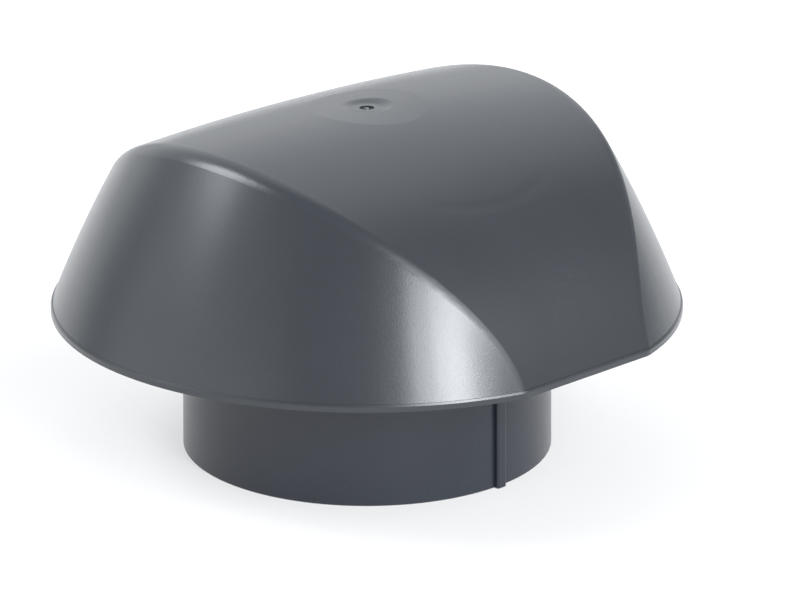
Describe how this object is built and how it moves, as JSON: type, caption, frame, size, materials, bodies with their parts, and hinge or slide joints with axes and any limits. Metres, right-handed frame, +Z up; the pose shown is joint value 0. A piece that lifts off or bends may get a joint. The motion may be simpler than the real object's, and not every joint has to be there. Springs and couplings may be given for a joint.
{
  "type": "ventilation cap",
  "caption": "Vaulted ventilation cap that pushes over a vent pipe and lets the air out under its rim.",
  "frame": {"origin": "centre of the collar's foot, at its lower edge", "axes": "+Z up along the pipe, X along the hood's ridge, the locating ribs on -Y and +Y"},
  "size_m": [0.2816, 0.2712, 0.1569],
  "materials": {
    "hood_plastic": "anthracite grey injection moulded plastic, satin with a fine spark-eroded grain",
    "collar_plastic": "anthracite grey injection moulded plastic, satin"
  },
  "bodies": {
    "root": {"hood": "hood_plastic", "collar": "collar_plastic"}
  },
  "joints": []
}
